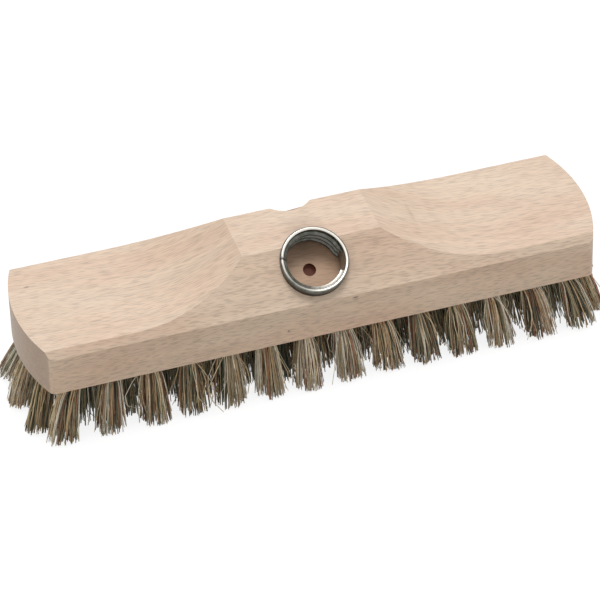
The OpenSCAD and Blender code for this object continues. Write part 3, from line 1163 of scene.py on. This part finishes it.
    def mesh(self) -> tuple[np.ndarray, np.ndarray, np.ndarray, np.ndarray]:
        """Carries a level triangle along each fibre's line, thinner towards the tip.

        Returns:
            Points in millimetres, faces of four corners, faces of three, and one tone
            for each point.
        """
        made, draw, count = self.made, self.draw, self.count
        lines = self.lines()
        steps = lines.shape[1]
        radius = made.fibre_radius * draw.uniform(*made.radius_shares, count)
        radius[self.stray] *= made.stray_radius
        taper = np.concatenate([[1.0, 1.0], 1.0 - made.tip_taper * np.array(made.spine)])
        spin = draw.uniform(0.0, 2 * math.pi, count)
        corner = spin[:, None] + np.arange(3)[None, :] * 2 * math.pi / 3
        triangle = np.stack([np.cos(corner), np.sin(corner), np.zeros_like(corner)], axis=-1)
        width = (radius[:, None] * taper[None, :])[:, :, None, None]
        points = (lines[:, :, None] + width * triangle[:, None]).reshape(-1, 3)
        starts = (np.arange(count) * steps * 3)[:, None, None]
        faces = grid_faces(steps, 3, closed=True)[None] + starts
        ends = np.array([[2, 1, 0], [steps * 3 - 3, steps * 3 - 2, steps * 3 - 1]])[None] + starts
        tone = np.repeat(self.tones(), steps * 3)
        return points, faces.reshape(-1, 4), ends.reshape(-1, 3), tone


# Studio

@dataclass
class Studio:
    """The camera at the photograph's viewing angle, a pale floor and soft light."""

    azimuth: float = 16.65
    elevation: float = 38.73
    roll: float = 1.78
    distance: float = 1621.1
    frame_width: float = 240.28
    target_height: float = 26.0
    frame_pixels: float = 600.0
    target_pixel: tuple[float, float] = (303.4, 289.3)
    sky_light: float = 0.49
    key_light: float = 0.33
    key_from: tuple[float, float, float] = (0.0, 0.0, 1.0)
    key_softness: float = 26.0
    sheen_light: float = 0.13
    sheen_from: tuple[float, float, float] = (0.22, 0.75, 0.63)
    sheen_softness: float = 30.0
    floor_size: float = 6000.0
    floor_tint: tuple[float, ...] = (0.6, 0.56, 0.51, 1.0)
    floor_shown: tuple[float, ...] = (0.24, 0.24, 0.24, 1.0)
    floor_glow: float = 0.86
    sensor_width: float = 36.0

    def camera(self) -> bpy.types.Object:
        """Makes the camera from the angles and distance worked out from the photograph."""
        side, up = math.radians(self.azimuth), math.radians(self.elevation)
        back = Vector((-math.sin(side) * math.cos(up), -math.cos(side) * math.cos(up),
                       math.sin(up)))
        right = Vector((math.cos(side), -math.sin(side), 0.0))
        above = back.cross(right)
        turn = math.radians(self.roll)
        across = right * math.cos(turn) - above * math.sin(turn)
        upward = right * math.sin(turn) + above * math.cos(turn)
        lens = bpy.data.cameras.new("camera")
        lens.sensor_width = self.sensor_width
        lens.lens = self.sensor_width * self.distance / self.frame_width
        lens.shift_x = (self.frame_pixels / 2 - self.target_pixel[0]) / self.frame_pixels
        lens.shift_y = (self.target_pixel[1] - self.frame_pixels / 2) / self.frame_pixels
        lens.clip_start, lens.clip_end = 0.05, 20.0
        camera = bpy.data.objects.new("camera", lens)
        turned = Matrix((across, upward, back)).transposed().to_4x4()
        target = Vector((0.0, 0.0, self.target_height)) * MM
        camera.matrix_world = Matrix.Translation(target + back * self.distance * MM) @ turned
        bpy.context.scene.collection.objects.link(camera)
        bpy.context.scene.camera = camera
        return camera

    def world(self) -> None:
        """Even light from all round, shown white to the camera and in polished metal."""
        world = bpy.data.worlds.new("studio")
        bpy.context.scene.world = world
        shader = Shader(world, "OutputWorld")
        add = shader.add
        path = add("LightPath")
        seen = add("Math", ((path, "Is Camera Ray"), (path, "Is Glossy Ray")), operation="MAXIMUM")
        light, shown = (add("Background", {"Color": WHITE, "Strength": strength})
                        for strength in (self.sky_light, 1.0))
        shader.finish(add("MixShader", ((seen, 0), (light, 0), (shown, 0))))

    def lamp(self, name: str, light: float, direction: tuple[float, float, float],
             softness: float) -> None:
        """Makes one soft lamp whose level gives light on a surface that faces it."""
        lamp = bpy.data.lights.new(name, "SUN")
        lamp.energy = light * math.pi
        lamp.angle = math.radians(softness)
        holder = bpy.data.objects.new(name, lamp)
        holder.rotation_mode = "QUATERNION"
        holder.rotation_quaternion = Vector(direction).to_track_quat("Z", "Y")
        bpy.context.scene.collection.objects.link(holder)

    def lamps(self) -> None:
        """A key light overhead, and a weaker one from behind that gives the flat top its sheen."""
        self.lamp("key", self.key_light, self.key_from, self.key_softness)
        self.lamp("sheen", self.sheen_light, self.sheen_from, self.sheen_softness)

    def floor(self) -> bpy.types.Object:
        """A pale matt floor that shows white to the camera and keeps the shadow."""
        half = self.floor_size / 2
        square = np.array([(-1.0, -1.0, 0.0), (1.0, -1.0, 0.0), (1.0, 1.0, 0.0), (-1.0, 1.0, 0.0)])
        floor = new_piece("floor", square * half, [np.arange(4)[None, :]])
        shader = Shader(bpy.data.materials.new("floor_paper_matt"))
        add = shader.add
        path = add("LightPath")
        seen = add("Math", ((path, "Is Camera Ray"), (path, "Is Glossy Ray")), operation="MAXIMUM")
        lit, shown = (add("BsdfDiffuse", {"Color": colour})
                      for colour in (self.floor_tint, self.floor_shown))
        glow = add("Emission", {"Color": WHITE, "Strength": self.floor_glow})
        white = add("AddShader", ((shown, 0), (glow, 0)))
        dress(floor, shader.finish(add("MixShader", ((seen, 0), (lit, 0), (white, 0)))))
        floor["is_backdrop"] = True
        return floor


def wood_marks(layout: Layout) -> tuple[Mark, ...]:
    """The marks of the photograph: specks, a reddish streak, and those in the threaded bore.

    The bore's floor is warmer than the planed faces. Painted shade darkens it under the
    ring's high side, and its centre mark is dark red-brown: partly the end grain's own
    darker tone, partly painted shade in that small hole.

    Args:
        layout: sizes that the block and the ring share.

    Returns:
        The marks, with their places in millimetres.
    """
    bore = layout.bore_matrix(True)
    floor, shade, pilot = (
        tuple(bore @ Vector((0.0, up * MM, (layout.bore_floor + rise) * MM)) / MM)
        for up, rise in ((0.0, 0.0), (11.0, 0.0), (0.0, -1.5)))
    return (
        Mark((-109.6, 14.3, 45.6), (1.5, 0.7, 1.0), 0.55),
        Mark((-89.4, -15.2, 45.6), (3.4, 0.5, 1.0), 0.35),
        Mark((-15.5, -30.0, 31.7), (0.7, 1.0, 0.6), 0.7),
        Mark((12.3, -30.0, 41.4), (1.6, 1.0, 0.55), 0.75),
        Mark((12.5, -30.0, 40.4), (1.6, 1.0, 0.4), 0.3),
        Mark((46.4, 3.4, 50.7), (1.1, 9.5, 2.2), 0.14, colour="#A8735C"),
        Mark(floor, (13.9,) * 3, 0.3, fade=0.1, colour="#E8A468"),
        # Painted shade under the ring's high side, and in the centre mark below it
        Mark(shade, (13.0,) * 3, 0.5, fade=0.9, colour="#3A2E22"),
        Mark(pilot, (3.1,) * 3, 1.0, fade=0.15, colour="#702E08"),
    )


def corners(box: tuple[Vector, Vector]) -> list[list[float]]:
    """The lowest and highest corner of a box as plain lists of metres."""
    return [[float(value) for value in corner] for corner in box]


def main() -> None:
    """Builds the studio, then each piece of the brush, and reports what was made."""
    logging.basicConfig(level=logging.INFO, format="%(name)s: %(message)s")
    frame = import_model()
    cad_box = corners(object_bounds())
    scene = bpy.context.scene
    scene.view_settings.view_transform = "Standard"
    studio = Studio()
    studio.camera()
    studio.world()
    studio.lamps()
    studio.floor()

    layout = Layout(*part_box("brush_block"))
    beech = Beech(marks=wood_marks(layout)).material()
    block = BrushBlock(layout).build()
    dress(block, beech)
    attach(block, "root")
    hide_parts("brush_block")
    log.info("block: %d faces", len(block.data.polygons))

    ring = HandleRing(layout).build()
    dress(ring, ZincPlate().material())
    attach(ring, "root")
    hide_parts("threaded_ring")
    log.info("handle ring: %d faces", len(ring.data.polygons))

    dress(frame["nodes"]["tuft_anchors"], AnchorWire().material())
    log.info("tuft anchors: kept from the packed model")

    fibre = MixedPlantFibre().material()
    field_of_tufts = TuftField(layout)
    for node, (row, numbers) in field_of_tufts.node_tufts().items():
        piece = field_of_tufts.build(f"{node}_fibres", row, numbers)
        dress(piece, fibre)
        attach(piece, "root")
        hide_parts(node)
        log.info("%s: %d faces", piece.name, len(piece.data.polygons))

    {"cad": cad_box, "visual": corners(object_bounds())}


if __name__ == "__main__":
    main()
